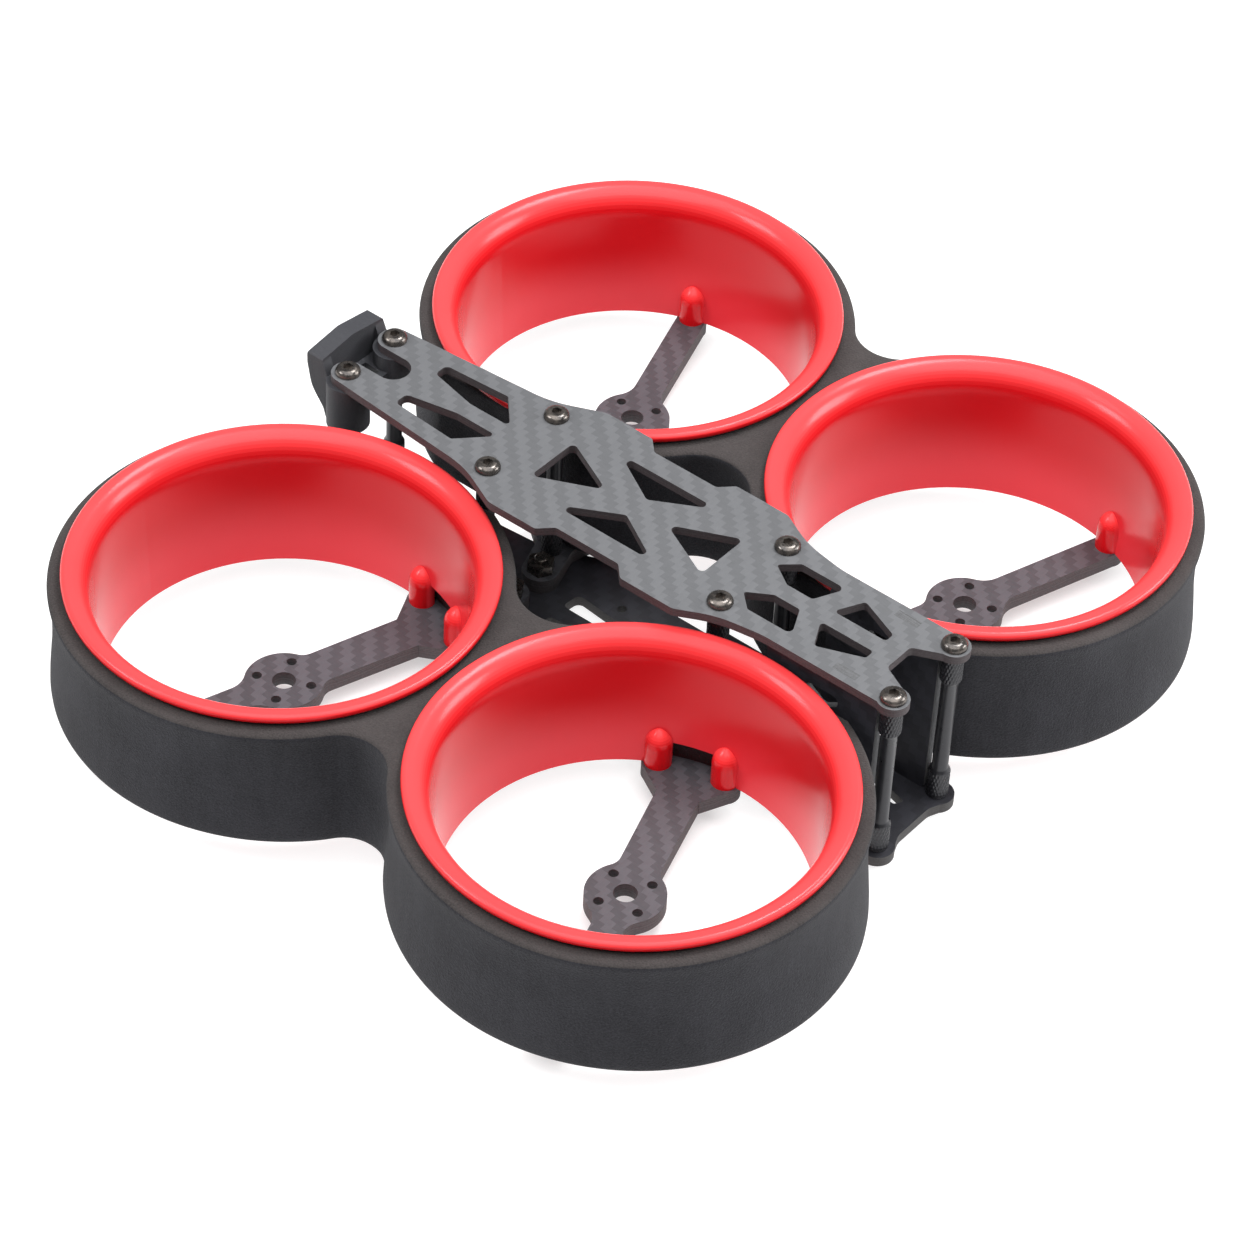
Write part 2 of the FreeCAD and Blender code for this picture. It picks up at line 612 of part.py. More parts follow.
def main():
    save("bottom_plate", [bottom_plate()])
    save("top_plate", [top_plate()])
    one_arm, one_duct = arm(), duct()
    m2 = button_screw(M2_HEAD_R, M2_HEAD_H, M2_SHANK_R, M2_SOCKET, 8.0)
    duct_screws = placed(m2, boss_places(), BOTTOM_TOP, True)
    for name, (sx, sy) in CORNERS.items():
        save(name + "_arm", [mirrored(one_arm, sx, sy)])
        save(name + "_duct", [mirrored(one_duct, sx, sy)])
        save(name + "_duct_screws", [mirrored(screw, sx, sy) for screw in duct_screws])
    guard, plate = foam_guard(), camera_plate()
    for name, sy in (("left", 1), ("right", -1)):
        save(name + "_foam_guard", [mirrored(guard, 1, sy)])
        save(name + "_camera_plate", [mirrored(plate, 1, sy)])
    save("rear_antenna_mount", [antenna_mount()])
    save_posts()
    save_fasteners()


os.makedirs("parts", exist_ok=True)
main()
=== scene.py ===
import math

import bmesh
import bpy
from mathutils import Matrix, Vector


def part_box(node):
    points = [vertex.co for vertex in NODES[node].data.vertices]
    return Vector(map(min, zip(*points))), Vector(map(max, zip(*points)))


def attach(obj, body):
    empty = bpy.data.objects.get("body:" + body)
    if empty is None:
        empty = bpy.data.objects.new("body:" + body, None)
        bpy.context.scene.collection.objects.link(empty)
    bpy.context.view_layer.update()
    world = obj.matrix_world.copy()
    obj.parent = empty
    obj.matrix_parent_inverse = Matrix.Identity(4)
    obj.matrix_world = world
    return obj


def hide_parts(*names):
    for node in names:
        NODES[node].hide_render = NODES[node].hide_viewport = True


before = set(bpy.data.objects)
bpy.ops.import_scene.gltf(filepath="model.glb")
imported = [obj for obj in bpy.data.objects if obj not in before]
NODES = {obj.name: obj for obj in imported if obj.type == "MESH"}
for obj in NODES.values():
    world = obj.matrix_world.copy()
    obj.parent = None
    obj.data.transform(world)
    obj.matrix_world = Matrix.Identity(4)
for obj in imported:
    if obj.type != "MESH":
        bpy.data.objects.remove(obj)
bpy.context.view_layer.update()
CORNERS = ("front_left", "front_right", "rear_left", "rear_right")
SIDES = {"left": 1, "right": -1}            # name: sign of y
MM = 0.001

# ---- places, read from the CAD nodes -------------------------------------------
LIP_BEAD = 1.1 * MM                         # from the lip's widest ring up to its top
duct_low, duct_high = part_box("front_left_duct")
DUCT_X = (duct_low.x + duct_high.x) / 2
DUCT_Y = (duct_low.y + duct_high.y) / 2
LIP_Z = duct_high.z - LIP_BEAD
guard_low, guard_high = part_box("left_foam_guard")
FOAM_R = guard_high.x - DUCT_X
GUARD_FLAT = guard_low.y


# ---- camera, solved from the four duct lips in the photo -------------------------
CAM_AZIMUTH = math.radians(37.28)
CAM_ELEVATION = math.radians(42.71)
CAM_ROLL = math.radians(3.15)
CAM_DISTANCE = 0.9207
CAM_AIM = Vector((0.01708, -0.02418, LIP_Z))
CAM_LENS_MM = 128.9
CAM_SENSOR_MM = 36.0
CAM_CLIP = (0.01, 20.0)


def make_camera():
    a, e, r = CAM_AZIMUTH, CAM_ELEVATION, CAM_ROLL
    back = Vector((math.sin(a) * math.cos(e), -math.cos(a) * math.cos(e), math.sin(e)))
    side = Vector((math.cos(a), math.sin(a), 0.0))
    up = back.cross(side)
    right = math.cos(r) * side + math.sin(r) * up
    top = math.cos(r) * up - math.sin(r) * side
    data = bpy.data.cameras.new("camera")
    data.sensor_width = CAM_SENSOR_MM
    data.lens = CAM_LENS_MM
    data.clip_start, data.clip_end = CAM_CLIP
    cam = bpy.data.objects.new("camera", data)
    basis = Matrix((right, top, back)).transposed().to_4x4()
    cam.matrix_world = Matrix.Translation(CAM_AIM + back * CAM_DISTANCE) @ basis
    bpy.context.scene.collection.objects.link(cam)
    bpy.context.scene.camera = cam


make_camera()


# ---- node helpers ------------------------------------------------------------------
class Shader:
    """A node material built by short calls. Points are object coordinates in mm."""

    def __init__(self, name):
        self.mat = bpy.data.materials.new(name)
        self.mat.use_nodes = True
        self.tree = self.mat.node_tree
        self.bsdf = self.tree.nodes["Principled BSDF"]
        coords = self.tree.nodes.new("ShaderNodeTexCoord")
        self.point = self.vector("SCALE", coords.outputs["Object"], scale=1 / MM)
        geometry = self.tree.nodes.new("ShaderNodeNewGeometry")
        self.normal = geometry.outputs["True Normal"]

    def link(self, value, socket):
        """Set a number or a colour on the socket itself, or link another node's output."""
        if isinstance(value, (int, float)):
            socket.default_value = value
        elif isinstance(value, (tuple, list)):
            whole = len(value) == len(socket.default_value)
            socket.default_value = value if whole else (*value, 1.0)
        else:
            self.tree.links.new(value, socket)

    def vector(self, operation, a, b=None, scale=None):
        node = self.tree.nodes.new("ShaderNodeVectorMath")
        node.operation = operation
        self.link(a, node.inputs[0])
        if b is not None:
            self.link(b, node.inputs[1])
        if scale is not None:
            self.link(scale, node.inputs["Scale"])
        return node.outputs["Value" if operation == "LENGTH" else "Vector"]

    def math(self, operation, a, b=0.0):
        node = self.tree.nodes.new("ShaderNodeMath")
        node.operation = operation
        self.link(a, node.inputs[0])
        self.link(b, node.inputs[1])
        return node.outputs[0]

    def add(self, a, b):
        return self.math("ADD", a, b)

    def sub(self, a, b):
        return self.math("SUBTRACT", a, b)

    def mul(self, a, b):
        return self.math("MULTIPLY", a, b)

    def choose(self, which, a, b):
        """a where which is 1, b where it is 0."""
        return self.add(self.mul(which, a), self.mul(self.sub(1.0, which), b))

    def split(self, vector):
        node = self.tree.nodes.new("ShaderNodeSeparateXYZ")
        self.link(vector, node.inputs[0])
        return node.outputs

    def join(self, x, y, z):
        node = self.tree.nodes.new("ShaderNodeCombineXYZ")
        for value, socket in zip((x, y, z), node.inputs):
            self.link(value, socket)
        return node.outputs[0]

    def noise(self, scale, detail=2.0, roughness=0.5, vector=None, output="Fac"):
        """Noise of about 1/scale mm grain; its "Color" is three noises in one vector."""
        node = self.tree.nodes.new("ShaderNodeTexNoise")
        self.link(vector or self.point, node.inputs["Vector"])
        node.inputs["Scale"].default_value = scale
        node.inputs["Detail"].default_value = detail
        node.inputs["Roughness"].default_value = roughness
        return node.outputs[output]

    def cells(self, scale):
        """Distance to the middle of the nearest cell, for cells of about 1/scale mm."""
        node = self.tree.nodes.new("ShaderNodeTexVoronoi")
        self.link(self.point, node.inputs["Vector"])
        node.inputs["Scale"].default_value = scale
        return node.outputs["Distance"]

    def ramp(self, value, low, high, a=0.0, b=1.0, smooth=False):
        """a up to low, b from high on, and a blend between them."""
        node = self.tree.nodes.new("ShaderNodeMapRange")
        node.interpolation_type = "SMOOTHSTEP" if smooth else "LINEAR"
        self.link(value, node.inputs["Value"])
        for key, number in (("From Min", low), ("From Max", high), ("To Min", a), ("To Max", b)):
            node.inputs[key].default_value = number
        return node.outputs["Result"]

    def mix(self, factor, a, b):
        """Colour a at factor 0, colour b at factor 1."""
        node = self.tree.nodes.new("ShaderNodeMix")
        node.data_type = "RGBA"
        self.link(factor, node.inputs["Factor"])
        self.link(a, node.inputs[6])
        self.link(b, node.inputs[7])
        return node.outputs[2]

    def bump(self, height, distance, strength=1.0, below=None):
        """distance is the height's size in mm; below is a bump that this one lies on."""
        node = self.tree.nodes.new("ShaderNodeBump")
        node.inputs["Strength"].default_value = strength
        node.inputs["Distance"].default_value = distance * MM
        self.link(height, node.inputs["Height"])
        if below is not None:
            self.link(below, node.inputs["Normal"])
        return node.outputs["Normal"]

    def finish(self, color, roughness, normal=None, **sockets):
        self.link(color, self.bsdf.inputs["Base Color"])
        self.link(roughness, self.bsdf.inputs["Roughness"])
        if normal is not None:
            self.link(normal, self.bsdf.inputs["Normal"])
        for key, value in sockets.items():
            self.link(value, self.bsdf.inputs[key.replace("_", " ")])
        return self.mat


# ---- carbon ------------------------------------------------------------------------
WEAVE_WANDER = 2.2          # mm that the tows stray from straight lines
FIBRE_ACROSS = 9.0          # fibre noise steps over one tow's width
FIBRE_ALONG = 0.7           # and along it
PLY_STEPS = 4.5             # ply noise steps per mm of thickness
CUT_ROUGHNESS = 0.62        # of the sawn edges


def twill(s, tow):
    """2 x 2 twill of tows this wide, in mm.

    Gives 1 where the warp lies on top, the weave's height from 0 to 1, and the place
    along x and y counted in tows.
    """
    x, y, _ = s.split(s.point)
    u, v = s.mul(x, 1.0 / tow), s.mul(y, 1.0 / tow)
    step = s.add(s.math("FLOOR", u), s.math("FLOOR", v))
    warp = s.math("LESS_THAN", s.math("FLOORED_MODULO", step, 4.0), 1.5)

    def crown(t):
        f = s.sub(s.mul(s.math("FRACT", t), 2.0), 1.0)
        return s.sub(1.0, s.mul(f, f))

    return warp, s.choose(warp, crown(u), crown(v)), u, v


def carbon(name, contrast, face, edge, tow, roughness=0.42, upright=False):
    """Woven carbon plate: twill on its two faces, ply lines on the cut edges."""
    s = Shader(name)
    if upright:                     # a plate that stands on edge, facing sideways
        x, y, z = s.split(s.point)
        s.point = s.join(x, z, y)
        x, y, z = s.split(s.normal)
        s.normal = s.join(x, z, y)
    stray = s.vector("SUBTRACT", s.noise(0.09, output="Color"), (0.5, 0.5, 0.5))
    s.point = s.vector("ADD", s.point, s.vector("SCALE", stray, scale=WEAVE_WANDER))
    warp, height, u, v = twill(s, tow)
    along_y = s.join(s.mul(u, FIBRE_ACROSS), s.mul(v, FIBRE_ALONG), 0.0)
    along_x = s.join(s.mul(u, FIBRE_ALONG), s.mul(v, FIBRE_ACROSS), 3.0)
    fibre = s.choose(warp, s.noise(1.0, 2.0, 0.6, along_y), s.noise(1.0, 2.0, 0.6, along_x))

    # the woven faces
    tone = s.add(s.mul(warp, 0.5), s.mul(fibre, 0.5))
    tone = s.add(tone, s.mul(s.noise(0.7, 3.0), 0.35))
    cloudy = s.ramp(s.noise(0.05, 3.0), 0.3, 0.7, 0.8, 1.1)
    light = tuple(c * (1 + contrast) for c in face)
    dark = tuple(c * (1 - contrast) for c in face)
    woven = s.mix(s.mul(s.ramp(tone, 0.2, 1.0), cloudy), dark, light)

    # the cut edges
    z = s.split(s.point)[2]
    ply = s.noise(1.0, 2.0, 0.5, s.join(0.0, 0.0, s.mul(z, PLY_STEPS)))
    fray = s.noise(2.2, 4.0, 0.7)
    cut = s.mix(s.ramp(s.add(ply, s.mul(fray, 0.5)), 0.55, 0.95),
                tuple(c * 0.55 for c in edge), tuple(c * 1.5 for c in edge))

    flat = s.ramp(s.math("ABSOLUTE", s.split(s.normal)[2]), 0.6, 0.8)
    rough = s.add(s.mul(flat, roughness - CUT_ROUGHNESS),
                  s.add(CUT_ROUGHNESS, s.mul(fibre, 0.1)))
    relief = s.mul(s.add(height, s.mul(fibre, 0.5)), flat)
    normal = s.bump(relief, 0.018)
    normal = s.bump(s.mul(ply, s.sub(1.0, flat)), 0.06, 1.0, normal)
    return s.finish(s.mix(flat, cut, woven), rough, normal, Specular_IOR_Level=0.42)


# ---- the other materials -------------------------------------------------------------
BOSS_EDGE = (37.8, 38.3)    # mm from the duct's axis: the screw bosses end, the wall begins
PAINTED_FOOT_LIGHT = (14.0, 29.0)    # mm above the ground: the wall's painted floor reflection fades out between these
LIT_LIP_TURN = (0.12, 0.8)      # upward part of the normal: the wall's colours below, the lip's painted lit colour above
# upward part of the normal: the foam's sides below, its painted lit top above
FOAM_TOP_TURN = (0.25, 0.8)
LAYER_MM = 0.28             # of the printed antenna mount


def red_plastic():
    """Moulded glossy red, with painted light: lighter on the lip's upward faces, and pinker
    towards the duct's foot as a painted floor reflection.
    """
    s = Shader("red_moulded_plastic")
    x, y, z = s.split(s.point)
    drift = s.noise(0.03, 3.0, 0.6)
    across = s.join(s.sub(s.math("ABSOLUTE", x), DUCT_X / MM),
                    s.sub(s.math("ABSOLUTE", y), DUCT_Y / MM), 0.0)
    wall = s.ramp(s.vector("LENGTH", across), *BOSS_EDGE)
    # painted floor reflection: the wall, not the bosses, is painted pinker towards its foot
    painted_foot_light = s.ramp(s.add(z, s.mul(drift, 4.0)), *PAINTED_FOOT_LIGHT, 1.0, 0.0, True)
    # painted shade: the darker red of the upper wall and the bosses
    shaded_red = s.mix(drift, (0.49, 0.0025, 0.006), (0.55, 0.004, 0.008))
    side = s.mix(s.mul(painted_foot_light, wall), shaded_red, (0.64, 0.030, 0.041))
    # painted light: the lip's upward faces get a lighter red with a painted sheen
    lip = s.mix(drift, (0.88, 0.050, 0.054), (0.95, 0.064, 0.068))
    color = s.mix(s.ramp(s.split(s.normal)[2], *LIT_LIP_TURN, smooth=True), side, lip)
    grain = s.noise(3.0, 3.0, 0.6)
    # all below 0.27: the denoiser draws contours where a smooth wall crosses that value
    rough = s.ramp(s.noise(0.05, 2.0), 0.3, 0.7, 0.19, 0.24)
    return s.finish(color, rough, s.bump(grain, 0.004), Specular_IOR_Level=0.42,
                    Specular_Tint=(1.0, 0.5, 0.55, 1.0))


def foam():
    """Closed-cell foam: matt, with fine pores, long soft moulding marks and a painted lit top.
    """
    s = Shader("grey_foam")
    pores = s.cells(2.2)
    grain = s.noise(2.4, 4.0, 0.75)
    cloudy = s.noise(0.06, 4.0, 0.6)
    x, y, z = s.split(s.point)
    streak = s.noise(1.0, 2.0, 0.5, s.join(s.mul(x, 0.35), s.mul(y, 0.35), s.mul(z, 0.04)))
    tone = s.add(s.mul(grain, 0.7), s.mul(cloudy, 0.3))
    tone = s.add(tone, s.mul(s.sub(streak, 0.5), 0.12))
    tone = s.ramp(tone, 0.35, 0.7)
    # painted light: the upward faces get a lighter, warmer copy of the foam colour than the
    # sides
    side = s.mix(tone, (0.010, 0.010, 0.013), (0.036, 0.036, 0.043))
    top = s.mix(tone, (0.029, 0.025, 0.025), (0.062, 0.054, 0.053))
    color = s.mix(s.ramp(s.split(s.normal)[2], *FOAM_TOP_TURN, smooth=True), side, top)
    normal = s.bump(s.add(s.mul(pores, 0.8), grain), 0.13, 0.9)
    return s.finish(color, 0.9, normal, Specular_IOR_Level=0.2, Sheen_Weight=0.06,
                    Sheen_Roughness=0.6, Sheen_Tint=(0.8, 0.78, 0.76, 1.0))


def printed():
    """Flexible print: matt black with fine layer lines."""
    s = Shader("black_flexible_print")
    z = s.split(s.point)[2]
    wobble = s.mul(s.noise(0.8, 2.0), 0.05)
    layer = s.math("SINE", s.mul(s.add(z, wobble), 2 * math.pi / LAYER_MM))
    grain = s.noise(2.5, 3.0, 0.7)
    color = s.mix(grain, (0.017, 0.0175, 0.022), (0.045, 0.046, 0.053))
    normal = s.bump(layer, 0.035, 0.8)
    normal = s.bump(grain, 0.05, 0.7, normal)
    return s.finish(color, 0.6, normal, Specular_IOR_Level=0.45)


def anodised():
    """Satin black anodised aluminium with fine turning marks."""
    s = Shader("black_anodised")
    z = s.split(s.point)[2]
    rings = s.noise(1.0, 2.0, 0.5, s.join(0.0, 0.0, s.mul(z, 14.0)))
    smear = s.noise(0.5, 3.0, 0.6)
    color = s.mix(smear, (0.014, 0.014, 0.017), (0.032, 0.032, 0.037))
    rough = s.ramp(smear, 0.3, 0.7, 0.26, 0.4)
    return s.finish(color, rough, s.bump(rings, 0.012, 0.7), Metallic=0.35,
                    Specular_IOR_Level=0.6)


def dark_steel():
    """Black oxide steel with a bronze cast, rubbed brighter in places."""
    s = Shader("black_oxide_steel")
    wear = s.noise(0.7, 4.0, 0.6)
    color = s.mix(s.ramp(wear, 0.35, 0.75), (0.075, 0.070, 0.068), (0.20, 0.175, 0.155))
    rough = s.ramp(wear, 0.3, 0.7, 0.2, 0.36)
    return s.finish(color, rough, s.bump(s.noise(3.0, 3.0), 0.006), Metallic=0.9)


def paint(material, *names):
    for name in names:
        data = NODES[name].data
        data.materials.clear()
        data.materials.append(material)
        for polygon in data.polygons:
            polygon.material_index = 0


MATERIAL = {
    "plate": carbon("carbon_plate_weave", contrast=0.16, face=(0.098, 0.100, 0.106),
                    edge=(0.05, 0.040, 0.043), tow=1.7),
    "arm": carbon("carbon_arm_weave", contrast=0.30, face=(0.064, 0.064, 0.073),
                  edge=(0.06, 0.056, 0.06), tow=1.7),
    # painted shade: the bottom plate is a darkened copy of the plate carbon, for the shade under
    # the top plate
    "shaded": carbon("carbon_weave_painted_shade", contrast=0.25, face=(0.02, 0.02, 0.026),
                     edge=(0.045, 0.042, 0.042), tow=2.0, roughness=0.5),
    # painted shade: the camera plates' faces are the same darkened carbon, for the shade under
    # the top plate
    "upright": carbon("carbon_side_weave_painted_shade", contrast=0.25, face=(0.02, 0.02, 0.026),
                      edge=(0.085, 0.086, 0.09), tow=2.0, roughness=0.5, upright=True),
    "red": red_plastic(),
    "foam": foam(),
    "print": printed(),
    "anodised": anodised(),
    "steel": dark_steel(),
}
POSTS = sorted(n for n in NODES if n.endswith("_post"))
paint(MATERIAL["plate"], "top_plate")
paint(MATERIAL["arm"], *(c + "_arm" for c in CORNERS))
paint(MATERIAL["shaded"], "bottom_plate")
paint(MATERIAL["upright"], *(s + "_camera_plate" for s in SIDES))
paint(MATERIAL["red"], *(c + "_duct" for c in CORNERS))
paint(MATERIAL["foam"], *(s + "_foam_guard" for s in SIDES))
paint(MATERIAL["print"], "rear_antenna_mount")
paint(MATERIAL["anodised"], *POSTS)
paint(MATERIAL["steel"], "top_plate_screws", "bottom_plate_screws", "arm_lock_screws",
      "arm_lock_nuts", *(c + "_duct_screws" for c in CORNERS))


# ---- mesh helpers ------------------------------------------------------------------
def add_object(name, mesh, material):
    """A smooth-shaded object of one material, linked to the scene."""
    mesh.materials.append(material)
    for polygon in mesh.polygons:
        polygon.use_smooth = True
    piece = bpy.data.objects.new(name, mesh)
    bpy.context.scene.collection.objects.link(piece)
    return piece


def wall_faces(lower, upper, count):
    """Quads between two closed rings of points, given by their first indices."""
    ahead = [(i, (i + 1) % count) for i in range(count)]
    return [(lower + i, lower + j, upper + j, upper + i) for i, j in ahead]


# ---- foam guards -------------------------------------------------------------------
WAIST_Y = 83.1 * MM         # outer side, midway between the two ducts
LOBE_Y = 32.5 * MM          # the side towards the body, midway between the ducts
BORE = 41.5 * MM
RIM_BORE = 43.6 * MM        # the bore flares to this under the duct's lip
RIM_DEPTH = 5.2 * MM
FLAT_WALL = 2.2 * MM        # foam left between the bores and the flat side
FLAT_WALL_TOP = 2.65 * MM   # a little more at the top, inside the rounded rim
BORE_SEGMENTS = 128
ARC_STEP = 1.2 * MM
FLAT_STEP = 1.5 * MM
LEAST_STEP = 0.25 * MM      # outline points closer than this are dropped
SPLAY = 1.15                # mm that the ends lean out at the ground
SPLAY_HEIGHT = 15.0         # mm over which they straighten up
SPLAY_CURVE = 0.7
# mm: offset outwards, and height above the guard's lower face, from the bottom up
GUARD_SIDE = [(-2.2, 0.0), (-1.2, 0.03), (-0.5, 0.22), (-0.05, 0.65), (0.3, 1.4),
              (0.42, 2.6), (0.35, 5.2), (0.1, 9.2), (-0.2, 14.2), (-0.38, 19.2),
              (-0.38, 23.2), (-0.2, 26.0), (0.05, 27.7), (0.28, 28.7), (0.33, 29.4),
              (0.22, 29.85), (-0.1, 30.15), (-0.6, 30.28), (-1.4, 30.33), (-2.4, 30.35)]


def arc_points(cx, cy, r, start, end):
    """Points and outward normals along an arc; a clockwise arc's normals face its centre."""
    count = max(2, int(abs(end - start) * r / ARC_STEP))
    sign = 1.0 if end > start else -1.0
    out = []
    for i in range(count + 1):
        t = start + (end - start) * i / count
        n = Vector((math.cos(t), math.sin(t)))
        out.append((Vector((cx, cy)) + n * r, n * sign))
    return out


def guard_outline():
    """Closed outline of the left guard, anticlockwise, as (point, outward normal)."""
    def joint_radius(drop):
        return (FOAM_R ** 2 - drop ** 2 - DUCT_X ** 2) / (2 * (drop - FOAM_R))

    waist_r = joint_radius(WAIST_Y - DUCT_Y)
    lobe_r = joint_radius(DUCT_Y - LOBE_Y)
    waist_c, lobe_c = WAIST_Y + waist_r, LOBE_Y - lobe_r
    up = math.atan2(waist_c - DUCT_Y, -DUCT_X)
    down = math.atan2(lobe_c - DUCT_Y, -DUCT_X)
    flat = math.acos((DUCT_Y - GUARD_FLAT) / FOAM_R)
    reach = FOAM_R * math.sin(flat)
    count = int(2 * reach / FLAT_STEP)
    # the front half: lobe, ring up to the flat side, flat side, ring round the nose, waist
    half = arc_points(0.0, lobe_c, lobe_r, math.pi / 2, down + math.pi)[:-1]
    half += arc_points(DUCT_X, DUCT_Y, FOAM_R, down, -math.pi / 2 - flat)
    half += [(Vector((DUCT_X + reach * (2 * i / count - 1), GUARD_FLAT)), Vector((0.0, -1.0)))
             for i in range(count + 1)]
    half += arc_points(DUCT_X, DUCT_Y, FOAM_R, -math.pi / 2 + flat, up)
    half += arc_points(0.0, waist_c, waist_r, up - math.pi, -math.pi / 2)[1:]
    other = [(Vector((-p.x, p.y)), Vector((-n.x, n.y))) for p, n in reversed(half)]
    ring = half + other[1:-1]
    kept = [ring[0]]
    for p, n in ring[1:]:
        if (p - kept[-1][0]).length > LEAST_STEP:
            kept.append((p, n))
    return kept


def smooth_normals(ring, rounds=3):
    points = [p for p, _ in ring]
    normals = [n for _, n in ring]
    for _ in range(rounds):
        normals = [(normals[i - 1] + 2 * normals[i] + normals[(i + 1) % len(ring)]).normalized()
                   for i in range(len(ring))]
    return list(zip(points, normals))


def guard_walls(side):
    """Points and faces of a guard without its top and bottom, and the edge loops of both."""
    ring = smooth_normals(guard_outline())
    count = len(ring)
    points, faces = [], []
    for offset, z in GUARD_SIDE:
        splay = SPLAY * max(0.0, 1.0 - z / SPLAY_HEIGHT) ** SPLAY_CURVE
        for p, n in ring:
            q = p + n * offset * MM + Vector((n.x * abs(n.x) * splay * MM, 0.0))
            points.append((q.x, q.y * side, guard_low.z + z * MM))
    last = (len(GUARD_SIDE) - 1) * count
    for start in range(0, last, count):
        faces += wall_faces(start, start + count, count)
    top, bottom = [range(last, last + count)], [range(count)]
    for sign in (1, -1):
        starts = []
        for radius, wall, z in ((BORE, FLAT_WALL, guard_low.z),
                                (BORE, FLAT_WALL, guard_high.z - RIM_DEPTH),
                                (RIM_BORE, FLAT_WALL_TOP, guard_high.z)):
            starts.append(len(points))
            for i in range(BORE_SEGMENTS):
                t = 2 * math.pi * i / BORE_SEGMENTS
                y = max(DUCT_Y + radius * math.sin(t), GUARD_FLAT + wall)
                points.append((sign * DUCT_X + radius * math.cos(t), y * side, z))
        for low, high in zip(starts, starts[1:]):
            faces += wall_faces(high, low, BORE_SEGMENTS)         # facing the duct's axis
        bottom.append(range(starts[0], starts[0] + BORE_SEGMENTS))
        top.append(range(starts[-1], starts[-1] + BORE_SEGMENTS))
    return points, faces, top, bottom


def foam_guard(name, side, node):
    points, faces, top, bottom = guard_walls(side)
    bm = bmesh.new()
    verts = [bm.verts.new(p) for p in points]
    for f in faces:
        bm.faces.new([verts[i] for i in f])
    for loops in (top, bottom):
        edges = []
        for loop in loops:
            for i in range(len(loop)):
                pair = (verts[loop[i]], verts[loop[(i + 1) % len(loop)]])
                edges.append(bm.edges.get(pair) or bm.edges.new(pair))
        bmesh.ops.triangle_fill(bm, use_beauty=True, use_dissolve=False, edges=edges)
    bmesh.ops.recalc_face_normals(bm, faces=bm.faces)
    mesh = bpy.data.meshes.new(name)
    bm.to_mesh(mesh)
    bm.free()
    piece = add_object(name, mesh, MATERIAL["foam"])
    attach(piece, "root")
    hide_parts(node)


for side_name, side_sign in SIDES.items():
    foam_guard("foam_guard_" + side_name, side_sign, side_name + "_foam_guard")


# ---- posts, in mm --------------------------------------------------------------------
BODY_R = 1.75
GRIP_R = 2.4
GRIP_LENGTH = 7.2
REAR_GRIP_LENGTH = 13.5
GRIP_INSET = 0.35           # the knurls stop this far from a grip's ends
GRIP_ROWS = 36
AROUND = 88
KNURL_DEPTH = 0.24
KNURL_TURN = 20             # grooves of each hand round the post
KNURL_PITCH = 2.1           # between grooves along the post


def post_profile(low, high, grip):
    """(height, radius, whether knurled) rows of a post with a grip band at each end."""
    rows = [(low, 2.1, False), (low + 0.3, 2.35, False)]
    rows += [(low + GRIP_INSET + (grip - 2 * GRIP_INSET) * i / GRIP_ROWS, GRIP_R, True)
             for i in range(GRIP_ROWS + 1)]
    rows += [(low + grip, 2.2, False), (low + grip + 0.4, BODY_R + 0.1, False),
             (low + grip + 0.7, BODY_R, False)]
    mirror = [(low + high - z, r, knurled) for z, r, knurled in reversed(rows)]
    return rows + [((low + high) / 2, BODY_R, False)] + mirror


def knurl(turn, z):
    """Depth of the crossed grooves at this part of a full turn and this height."""
    a, b = turn * KNURL_TURN, z / KNURL_PITCH
    left = abs(((a + b) % 1.0) - 0.5) * 2
    right = abs(((a - b) % 1.0) - 0.5) * 2
    return KNURL_DEPTH * max(1 - left * 2.0, 1 - right * 2.0, 0.0)


def make_post(node):
    low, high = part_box(node)
    centre = (low + high) / 2
    grip = REAR_GRIP_LENGTH if node in ("rear_left_post", "rear_right_post") else GRIP_LENGTH
    points, faces = [], []
    for z, radius, knurled in post_profile(low.z / MM, high.z / MM, grip):
        for i in range(AROUND):
            t = 2 * math.pi * i / AROUND
            r = radius - knurl(i / AROUND, z) if knurled else radius
            points.append((centre.x + r * MM * math.cos(t),
                           centre.y + r * MM * math.sin(t), z * MM))
    last = len(points) - AROUND
    for start in range(0, last, AROUND):
        faces += wall_faces(start, start + AROUND, AROUND)
    faces.append(tuple(reversed(range(AROUND))))
    faces.append(tuple(range(last, len(points))))
    mesh = bpy.data.meshes.new("knurled_" + node)
    mesh.from_pydata(points, [], faces)
    mesh.update()
    mesh.validate()
    piece = add_object("knurled_" + node, mesh, MATERIAL["anodised"])
    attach(piece, "root")
    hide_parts(node)


for node_name in POSTS:
    make_post(node_name)


# ---- floor and light -----------------------------------------------------------------
FLOOR_HALF = 6.0
FLOOR_GLOW = 0.85
SHADE_REACH = 5.6 * MM      # how far up the floor looks for pieces that shade it
SHADE_SIDES = (19.0, 24.0)  # mm from the middle line: no shading inside, full outside
SHADE_MOST = 0.85
WORLD_STRENGTH = 0.3
LIGHT_AIM = Vector((0, 0, 0.03))
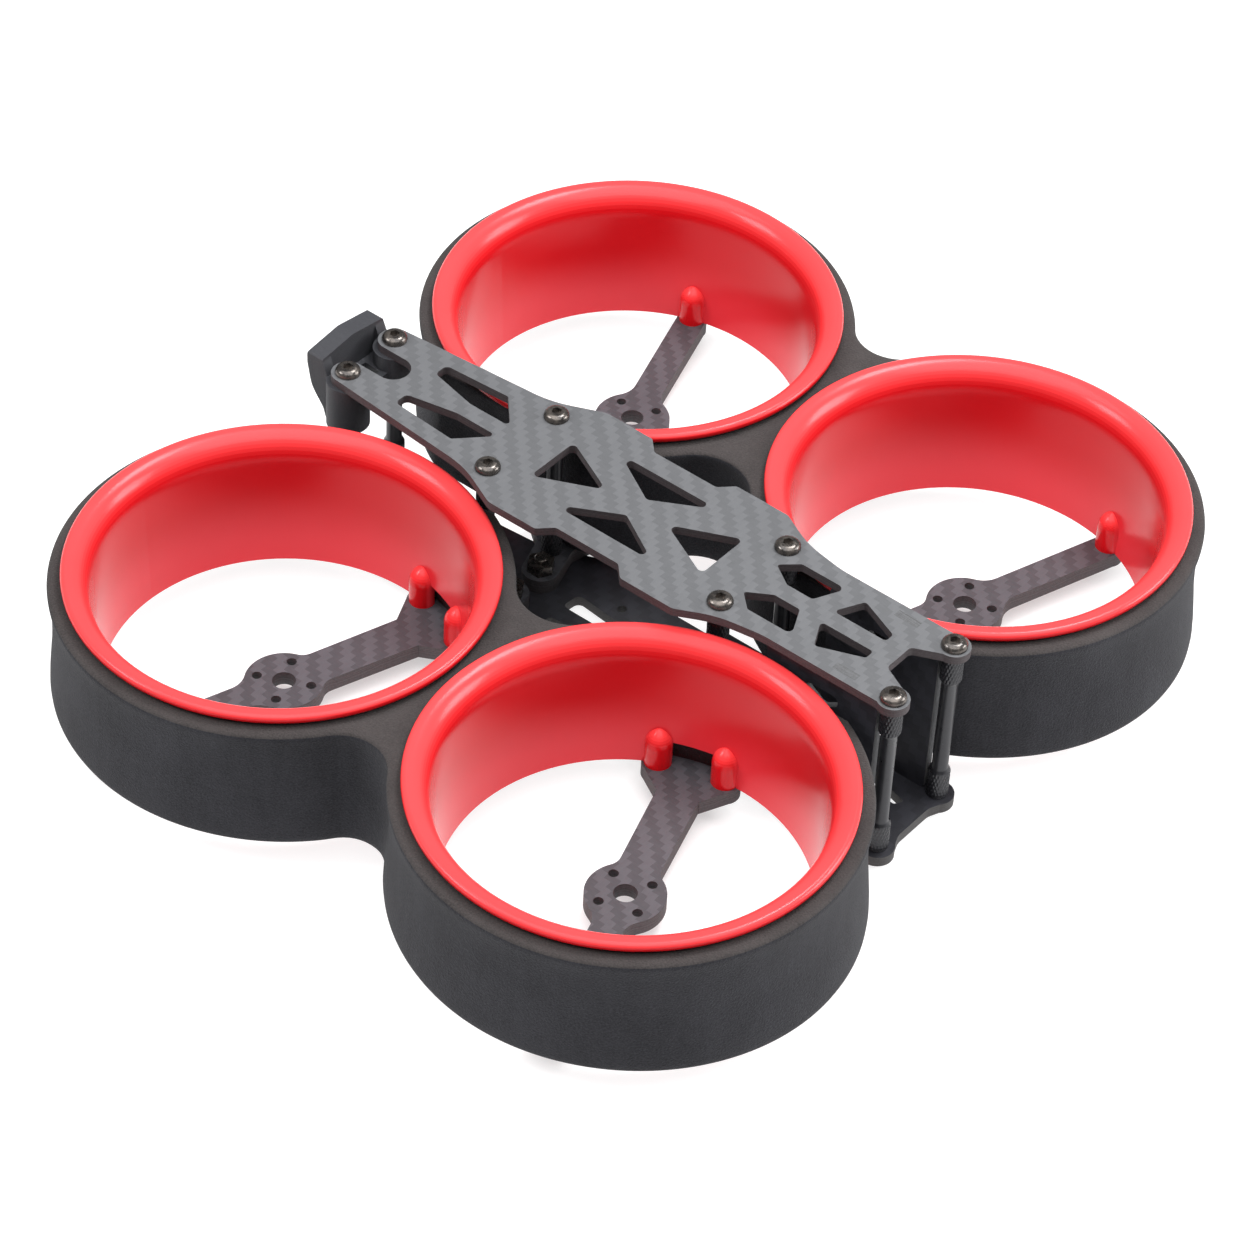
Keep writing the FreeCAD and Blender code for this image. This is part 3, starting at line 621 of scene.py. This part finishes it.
# name: place, width and depth, watts
LIGHTS = {
    "softbox_top": ((0.12, -0.13, 0.95), (1.2, 1.2), 12.5),
    "softbox_back": ((0.07, 0.42, 0.88), (0.34, 0.28), 5.0),
    "softbox_left": ((-0.62, -0.62, 0.75), (0.4, 0.4), 5.4),
    "softbox_right": ((0.65, 0.58, 0.4), (0.4, 0.4), 5.4),
}


def white_paper():
    """White paper that glows like a lit sweep, with a painted contact shadow close under the
    arms.
    """
    s = Shader("white_paper")
    grain = s.noise(0.4, 3.0)
    color = s.mix(grain, (0.34, 0.34, 0.34), (0.38, 0.38, 0.38))
    near = s.tree.nodes.new("ShaderNodeAmbientOcclusion")
    near.samples = 12
    near.inputs["Distance"].default_value = SHADE_REACH
    beside = s.ramp(s.math("ABSOLUTE", s.split(s.point)[1]), *SHADE_SIDES, 0.0, SHADE_MOST)
    # painted shadow: the glow is dimmed where the arms hang close over the floor, only beside
    # the body
    shade = s.mul(s.sub(1.0, near.outputs["AO"]), beside)
    glow = s.mul(s.sub(1.0, shade), FLOOR_GLOW)
    return s.finish(color, 0.9, s.bump(grain, 0.02), Emission_Color=(1.0, 1.0, 1.0, 1.0),
                    Emission_Strength=glow)


def make_floor():
    mesh = bpy.data.meshes.new("floor")
    signs = ((-1, -1), (1, -1), (1, 1), (-1, 1))
    corners = [(x * FLOOR_HALF, y * FLOOR_HALF, 0) for x, y in signs]
    mesh.from_pydata(corners, [], [(0, 1, 2, 3)])
    mesh.materials.append(white_paper())
    floor = bpy.data.objects.new("floor", mesh)
    bpy.context.scene.collection.objects.link(floor)


def area_light(name, place, size, power):
    data = bpy.data.lights.new(name, "AREA")
    data.shape = "RECTANGLE"
    data.size, data.size_y = size
    data.energy = power
    lamp = bpy.data.objects.new(name, data)
    place = Vector(place)
    turn = (place - LIGHT_AIM).to_track_quat("Z", "Y").to_matrix().to_4x4()
    lamp.matrix_world = Matrix.Translation(place) @ turn
    bpy.context.scene.collection.objects.link(lamp)


def make_world():
    world = bpy.data.worlds.new("studio")
    world.use_nodes = True
    background = world.node_tree.nodes["Background"]
    background.inputs[0].default_value = (1, 1, 1, 1)
    background.inputs[1].default_value = WORLD_STRENGTH
    bpy.context.scene.world = world


make_floor()
make_world()
for light_name, settings in LIGHTS.items():
    area_light(light_name, *settings)
view = bpy.context.scene.view_settings
view.view_transform = "Standard"
